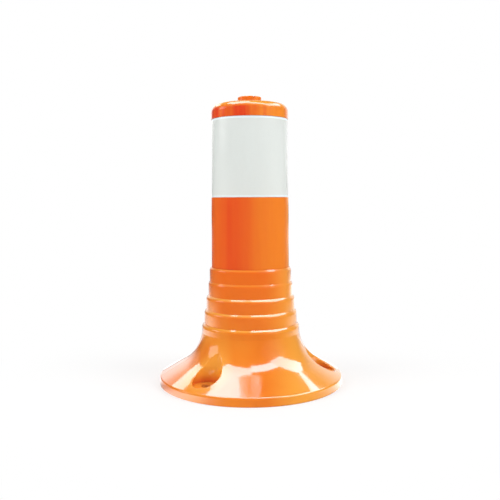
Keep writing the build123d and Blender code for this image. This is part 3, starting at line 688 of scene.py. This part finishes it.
class DELINEATOR_OT_band(Operator):
    """Wrap the reflective sheeting round the tube, lapped at the back"""

    bl_idname = "delineator.band"
    bl_label = "Reflective band"

    def execute(self, context):
        sizes = context.scene.delineator_sizes
        outer = band_high.x - sizes.sheeting
        seat = outer - sizes.sheeting - GLUE
        section = [(seat, band_low.z), (outer, band_low.z), (outer, band_high.z), (seat, band_high.z)]
        shape = turned_shape(section, sizes.facets)
        rims = ring_edges(shape, outer, band_low.z) + ring_edges(shape, outer, band_high.z)
        bmesh.ops.bevel(shape, geom=rims, offset=RIM_ROUND, offset_type="OFFSET", segments=2, profile=0.5,
                        affect="EDGES", material=-1, clamp_overlap=False)
        angle = sizes.lap / outer
        lapped = [(outer, band_low.z), (band_high.x, band_low.z),
                  (band_high.x, band_high.z), (outer, band_high.z)]
        strip = [shape.verts.new((radius, 0, height)) for radius, height in lapped]
        flap = shape.faces.new(strip)
        bmesh.ops.rotate(shape, verts=strip, cent=(0, 0, 0),
                         matrix=Matrix.Rotation(radians(90) - angle / 2, 3, "Z"))
        bmesh.ops.spin(shape, geom=[flap], cent=(0, 0, 0), axis=(0, 0, 1), dvec=(0, 0, 0), angle=angle,
                       steps=LAP_STEPS, use_merge=False, use_duplicate=False)
        bmesh.ops.recalc_face_normals(shape, faces=shape.faces)
        piece = new_piece("reflective_wrap", shape, beaded_sheeting(context.scene.delineator_colours))
        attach(piece, "post")
        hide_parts("reflective_band")
        return {"FINISHED"}


class DELINEATOR_OT_cap(Operator):
    """Finish the cap and its slotted nut"""

    bl_idname = "delineator.cap"
    bl_label = "Cap and nut"

    def execute(self, context):
        colours = context.scene.delineator_colours
        dress(["top_cap"], drawn_polyethylene(
            "Polyethylene, glossy moulding", colours.cap_shaded_red, colours.cap_lit_orange, colours.cap_painted_light,
            streak=7 * MM, sheen=0.16, streak_share=0.3, lit_left_share=0.0, lit_edge_share=0.4, coat=0.5))
        dress(["cap_nut"], drawn_polyethylene(
            "Polyethylene, glossy turned moulding", colours.nut_shaded_red, colours.nut_lit_orange, colours.cap_painted_light,
            streak=7 * MM, sheen=0.16, streak_share=0.3, lit_left_share=0.0, lit_edge_share=0.0, coat=0.4))
        return {"FINISHED"}


class DELINEATOR_OT_hardware(Operator):
    """Finish the hidden metal pieces and the rubber rings"""

    bl_idname = "delineator.hardware"
    bl_label = "Hardware"

    def execute(self, context):
        colours = context.scene.delineator_colours
        plated = [
            "base_plate", "flange_screws", "anchor_bushes", "lower_spring_socket", "socket_screws",
            "lower_grub_screws", "boot_clip", "upper_grub_screws", "tie_rod", "tie_rod_washers",
            "tie_rod_nuts",
        ]
        dress(plated, plated_zinc(colours))
        dress(["upper_spring_socket"], turned_aluminium(colours))
        dress(["cap_seal", "cap_washer"], moulded_rubber(colours))
        return {"FINISHED"}


def area_lamp(name, place, width, height, power):
    """Rectangular lamp at a place, shining along its own downward axis."""
    lamp = bpy.data.lights.new(name, "AREA")
    lamp.shape = "RECTANGLE"
    lamp.size = width
    lamp.size_y = height
    lamp.energy = power
    made = bpy.data.objects.new(name, lamp)
    made.matrix_world = place
    made.visible_camera = False
    bpy.context.scene.collection.objects.link(made)
    return made


def facing_post(azimuth, elevation):
    """Place on a sphere round the post, facing its foot. Azimuth 0 is the camera's side and 90 the right."""
    turn = Matrix.Rotation(radians(azimuth), 4, "Z") @ Matrix.Rotation(radians(90 - elevation), 4, "X")
    return Matrix.Translation(LIT_POINT) @ turn @ Matrix.Translation((0, 0, LAMP_DISTANCE))


def eye_rays(tree):
    """1 for rays that come from the camera, straight or through something clear, otherwise 0."""
    straight = add_node(tree, "ShaderNodeLightPath", output="Is Camera Ray")
    through = add_node(tree, "ShaderNodeLightPath", output="Is Transmission Ray")
    return add_node(tree, "ShaderNodeMath", {0: straight, 1: through}, operation="MAXIMUM")


class DELINEATOR_OT_stage(Operator):
    """Set the floor, the light and the camera"""

    bl_idname = "delineator.stage"
    bl_label = "Stage"

    def execute(self, context):
        stage = context.scene.delineator_stage
        colours = context.scene.delineator_colours
        context.scene.view_settings.view_transform = "Standard"
        self.floor(colours, stage.room_gloss)
        self.world(context, colours, stage.ambient, stage.room_gloss)
        for name, azimuth, elevation, width, height, level in SOFT_BOXES:
            power = level * (pi * LAMP_DISTANCE) ** 2
            area_lamp(name, facing_post(azimuth, elevation), width, height, power).visible_glossy = False
        for name, azimuth, elevation, width, height, bright in GLOSS_CARDS:
            power = bright * pi * width * height
            area_lamp(name, facing_post(azimuth, elevation), width, height, power).visible_diffuse = False
        for name, left, right, front, back, bright in CEILING_PANELS:
            width, depth = right - left, back - front
            place = Matrix.Translation(((left + right) / 2, (front + back) / 2, CEILING_HEIGHT))
            made = area_lamp(name, place, width, depth, bright * pi * width * depth)
            made.data.color = PANEL_COLOUR
            made.visible_diffuse = False
        lens = bpy.data.cameras.new("Studio camera")
        lens.sensor_width = 36.0
        lens.lens = stage.lens
        lens.shift_y = stage.rise
        lens.clip_start = 0.01
        camera = bpy.data.objects.new("Studio camera", lens)
        camera.location = (0, -stage.distance, stage.height)
        camera.rotation_euler = (radians(90), radians(stage.roll), 0)
        context.scene.collection.objects.link(camera)
        context.scene.camera = camera
        return {"FINISHED"}

    def floor(self, colours, room):
        """Pale floor that is white to the eye, keeps the post's shadow close by, and shows in the gloss."""
        shape = bmesh.new()
        bmesh.ops.create_grid(shape, x_segments=2, y_segments=2, size=FLOOR_REACH)
        material, tree, place = new_material("Paper backdrop, matt white")
        near = add_node(tree, "ShaderNodeVectorMath", {0: place}, "Value", operation="LENGTH")
        open_share = add_node(tree, "ShaderNodeMapRange", {
            "Value": near, "From Min": 0.10, "From Max": 0.30, "To Min": 0.65, "To Max": 1.0},
            interpolation_type="SMOOTHSTEP")
        share = add_node(tree, "ShaderNodeMath", {0: eye_rays(tree), 1: open_share}, operation="MULTIPLY")
        paper = add_node(tree, "ShaderNodeBsdfDiffuse", {"Color": opaque(colours.paper)})
        white = add_node(tree, "ShaderNodeEmission", {"Color": opaque(colours.white), "Strength": 1.0})
        seen = add_node(tree, "ShaderNodeMixShader", {0: share, 1: paper, 2: white})
        mirrored = room
        for x, y, reach, bright in FLOOR_GLOWS:
            away = add_node(tree, "ShaderNodeVectorMath", {0: place, 1: (x, y, 0)}, "Value",
                            operation="DISTANCE")
            glow = add_node(tree, "ShaderNodeMapRange", {
                "Value": away, "From Min": reach, "From Max": 0.0, "To Max": bright},
                interpolation_type="SMOOTHSTEP")
            mirrored = add_node(tree, "ShaderNodeMath", {0: glow, 1: mirrored}, operation="ADD")
        pale = add_node(tree, "ShaderNodeEmission", {"Color": opaque(colours.white), "Strength": mirrored})
        gloss = add_node(tree, "ShaderNodeLightPath", output="Is Glossy Ray")
        face = add_node(tree, "ShaderNodeMixShader", {0: gloss, 1: seen, 2: pale})
        add_node(tree, "ShaderNodeOutputMaterial", {"Surface": face})
        new_piece("studio_floor", shape, material)

    def world(self, context, colours, ambient, room):
        """World that is white to the eye, a soft grey for the light it sheds, and a dim room with a pale
        backdrop in the gloss."""
        world = bpy.data.worlds.new("Studio")
        context.scene.world = world
        world.use_nodes = True
        tree = world.node_tree
        tree.nodes.clear()
        ahead = add_node(tree, "ShaderNodeTexCoord", output="Generated")
        mirrored = room
        for azimuth, elevation, reach, bright in BACKDROP_GLOWS:
            turn = Matrix.Rotation(radians(azimuth), 3, "Z") @ Matrix.Rotation(radians(-elevation), 3, "X")
            near = add_node(tree, "ShaderNodeVectorMath", {0: ahead, 1: turn @ Vector((0, -1, 0))}, "Value",
                            operation="DOT_PRODUCT")
            glow = add_node(tree, "ShaderNodeMapRange", {
                "Value": near, "From Min": cos(radians(reach)), "To Max": bright},
                interpolation_type="SMOOTHSTEP")
            mirrored = add_node(tree, "ShaderNodeMath", {0: glow, 1: mirrored}, operation="ADD")
        gloss = add_node(tree, "ShaderNodeLightPath", output="Is Glossy Ray")
        shed = add_node(tree, "ShaderNodeMapRange", {"Value": gloss, "To Min": ambient, "To Max": mirrored})
        level = add_node(tree, "ShaderNodeMapRange", {
            "Value": eye_rays(tree), "To Min": shed, "To Max": 1.0})
        shade = add_node(tree, "ShaderNodeBackground", {"Color": opaque(colours.white), "Strength": level})
        add_node(tree, "ShaderNodeOutputWorld", {"Surface": shade})


operators = (
    DELINEATOR_OT_base,
    DELINEATOR_OT_neck_boot,
    DELINEATOR_OT_return_spring,
    DELINEATOR_OT_tube,
    DELINEATOR_OT_band,
    DELINEATOR_OT_cap,
    DELINEATOR_OT_hardware,
    DELINEATOR_OT_stage,
)


class DELINEATOR_PT_pieces(Panel):
    """Pieces of the post, in the order in which they are made"""

    bl_idname = "DELINEATOR_PT_pieces"
    bl_label = "Spring delineator post"
    bl_space_type = "VIEW_3D"
    bl_region_type = "UI"
    bl_category = "Delineator"

    def draw(self, context):
        scene = context.scene
        for operator in operators:
            self.layout.operator(operator.bl_idname)
        for group in (scene.delineator_sizes, scene.delineator_colours, scene.delineator_stage):
            box = self.layout.box()
            for name in group.bl_rna.properties.keys():
                if name not in ("rna_type", "name"):
                    box.prop(group, name)


classes = (DelineatorSizes, DelineatorColours, DelineatorStage, *operators, DELINEATOR_PT_pieces)


def register():
    for kind in classes:
        bpy.utils.register_class(kind)
    bpy.types.Scene.delineator_sizes = PointerProperty(type=DelineatorSizes)
    bpy.types.Scene.delineator_colours = PointerProperty(type=DelineatorColours)
    bpy.types.Scene.delineator_stage = PointerProperty(type=DelineatorStage)


def unregister():
    del bpy.types.Scene.delineator_stage
    del bpy.types.Scene.delineator_colours
    del bpy.types.Scene.delineator_sizes
    for kind in reversed(classes):
        bpy.utils.unregister_class(kind)


def main():
    register()
    bpy.ops.delineator.base()
    bpy.ops.delineator.neck_boot()
    bpy.ops.delineator.return_spring()
    bpy.ops.delineator.tube()
    bpy.ops.delineator.band()
    bpy.ops.delineator.cap()
    bpy.ops.delineator.hardware()
    bpy.ops.delineator.stage()


if __name__ == "__main__":
    main()
